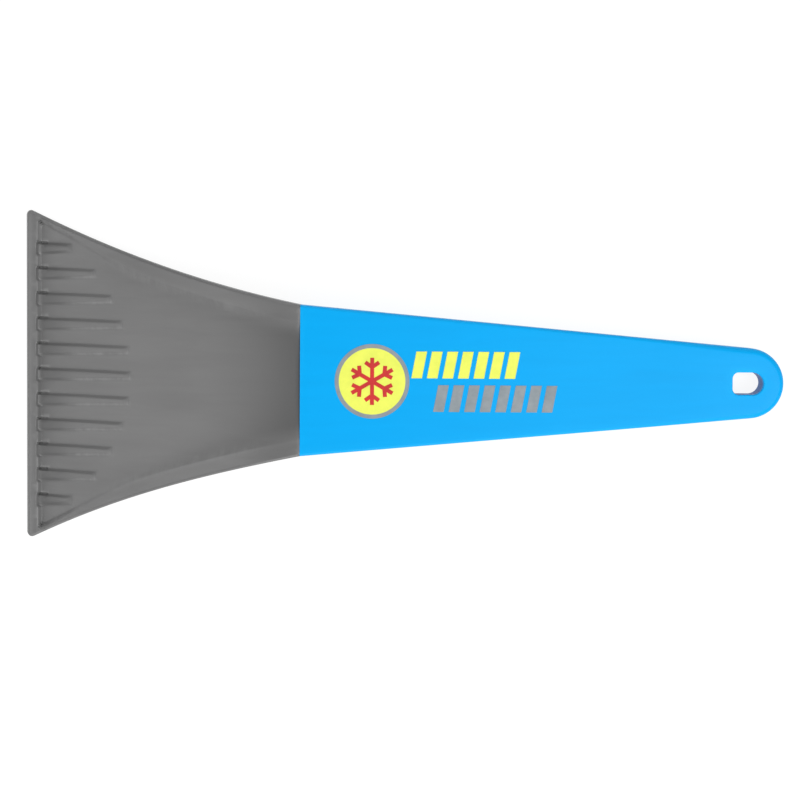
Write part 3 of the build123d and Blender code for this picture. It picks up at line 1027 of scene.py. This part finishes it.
def plastic(name, colour, shade, worn_and_highlight, painted_shade, roughness, specular):
    """Injection-moulded plastic: flow streaks along the tool, fine grain, scuffs, paler worn edges with
    painted highlights, and painted shade.
    """
    nodes = Nodes(name)
    streaks = nodes.noise(60, stretch=(0.35, 3.0, 1.0), detail=4, roughness=0.6, distortion=0.4)
    cloud = nodes.noise(18, detail=2)
    streaky = nodes.remap(streaks, 0.35, 0.7, 0.0, 0.6)
    cloudy = nodes.remap(cloud, 0.3, 0.7, 0.0, 0.4)
    base = nodes.mix(nodes.math("ADD", streaky, cloudy), colour, shade)
    # Painted shade: the base colour darkens where the mesh marks shade.
    base = nodes.mix(nodes.attribute("painted_shade"), base, painted_shade)
    speckle = nodes.noise(900, detail=2)
    scuff = nodes.noise(420, stretch=(1.0, 0.12, 1.0), detail=5, roughness=0.7)
    scuffed = nodes.remap(scuff, 0.35, 0.62, 0.35, 1.0)
    patchy = nodes.math("MULTIPLY", nodes.attribute("wear_and_highlight"), scuffed)
    # Paler worn edges, and painted highlights, where the mesh marks them.
    base = nodes.mix(patchy, base, worn_and_highlight)
    uneven = nodes.remap(cloud, 0.3, 0.7, roughness - 0.04, roughness + 0.04)
    rough = nodes.math("ADD", uneven, nodes.math("MULTIPLY", patchy, 0.22))
    grain = nodes.bump(speckle, 0.10, 0.00006)
    ripple = nodes.bump(streaks, 0.12, 0.0006, normal=grain)
    values = {"Base Color": base, "Roughness": rough, "Normal": ripple, "Specular IOR Level": specular}
    return nodes.finish(values)


def ink(name, colour, shade):
    """Pad-printed ink: slightly uneven cover, with a fine dot where it missed a grain."""
    nodes = Nodes(name)
    cover = nodes.noise(240, detail=5, roughness=0.65)
    speck = nodes.noise(1500, detail=1)
    base = nodes.mix(nodes.remap(cover, 0.35, 0.7, 0.0, 1.0), colour, shade)
    base = nodes.mix(nodes.remap(speck, 0.70, 0.78, 0.0, 0.2), base, shade)
    rough = nodes.remap(cover, 0.3, 0.7, 0.42, 0.58)
    bump = nodes.bump(speck, 0.15, 0.00005)
    values = {"Base Color": base, "Roughness": rough, "Normal": bump}
    values.update({"Specular IOR Level": INK_SPECULAR})
    return nodes.finish(values)


def paint(obj, material):
    obj.data.materials.clear()
    obj.data.materials.append(material)


# ---- Light, floor and camera ----

def light(name, place, aim, size, power):
    """A square area light at a place in the row frame, facing a point."""
    data = bpy.data.lights.new(name, "AREA")
    data.size = size
    data.energy = power
    obj = bpy.data.objects.new(name, data)
    obj.location = place
    obj.rotation_euler = (Vector(aim) - Vector(place)).to_track_quat("-Z", "Y").to_euler()
    bpy.context.scene.collection.objects.link(obj)


def make_floor():
    mesh = bmesh.new()
    bmesh.ops.create_grid(mesh, x_segments=8, y_segments=8, size=FLOOR_HALF_SIZE)
    data = bpy.data.meshes.new("floor")
    mesh.to_mesh(data)
    mesh.free()
    floor = bpy.data.objects.new("floor", data)
    bpy.context.scene.collection.objects.link(floor)
    nodes = Nodes("floor")
    tint = nodes.mix(nodes.noise(3, detail=2), *FLOOR_TINTS)
    values = {"Base Color": tint, "Roughness": FLOOR_ROUGHNESS, "Specular IOR Level": FLOOR_SPECULAR}
    values.update({"Emission Color": (1, 1, 1, 1), "Emission Strength": FLOOR_GLOW})
    paint(floor, nodes.finish(values))


def make_camera():
    """The camera, from its place and the point it looks at in the tool frame."""
    place, aim = TOOL @ Vector(CAMERA_PLACE), TOOL @ Vector(CAMERA_AIM)
    back = (place - aim).normalized()
    side = (TOOL.to_3x3() @ Vector((0, 1, 0))).normalized()
    up = (side - back * side.dot(back)).normalized()
    right = up.cross(back)
    turn = Matrix((right, up, back)).transposed() @ Matrix.Rotation(math.radians(CAMERA_ROLL), 3, "Z")
    data = bpy.data.cameras.new("camera")
    data.lens = CAMERA_LENS
    data.shift_y = CAMERA_SHIFT
    camera = bpy.data.objects.new("camera", data)
    camera.matrix_world = Matrix.Translation(place) @ turn.to_4x4()
    bpy.context.scene.collection.objects.link(camera)
    bpy.context.scene.camera = camera


# ---- Build ----

head = make_head()
combine(head, tongue_solids(), "UNION")
crisp(head, CRISP_ANGLE)
x, y, z = tool_points(head).T
# The head's wear with painted highlights, and its painted shade, as vertex attributes.
mark(head, "wear_and_highlight", head_wear_and_highlights(x, y, z))
mark(head, "painted_shade", head_painted_shade(x, y))

handle = make_handle()
combine(handle, handle_cutters(), "DIFFERENCE")
crisp(handle, CRISP_ANGLE)
x, y, z = tool_points(handle).T
mark(handle, "wear_and_highlight", handle_wear(x, y, z))
# Painted shade on the slot's inner wall.
mark(handle, "painted_shade", handle_painted_shade(x, y, z))

replacements = (
    (head, "scraper_head", "head_plastic"),
    (handle, "handle_sleeve", "handle_plastic"),
)
for piece, node, slot in replacements:
    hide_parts(node)
    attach(piece, "root")

grey = plastic("head_plastic", GREY, GREY_SHADE, GREY_WORN_AND_HIGHLIGHT, GREY_PAINTED_SHADE, GREY_ROUGHNESS, GREY_SPECULAR)
blue = plastic("handle_plastic", BLUE, BLUE_SHADE, BLUE_WORN, BLUE_PAINTED_SHADE, BLUE_ROUGHNESS, BLUE_SPECULAR)
paint(head, grey)
paint(handle, blue)
for node, (colour, shade) in INK_LOOKS.items():
    paint(frame["nodes"][node], ink(node, colour, shade))

make_floor()
make_camera()
for name, values in LIGHTS.items():
    light(name, *values)
world = bpy.data.worlds.new("world")
world.use_nodes = True
world.node_tree.nodes["Background"].inputs[0].default_value = (1, 1, 1, 1)
world.node_tree.nodes["Background"].inputs[1].default_value = WORLD_STRENGTH
bpy.context.scene.world = world
bpy.context.scene.view_settings.view_transform = "Standard"
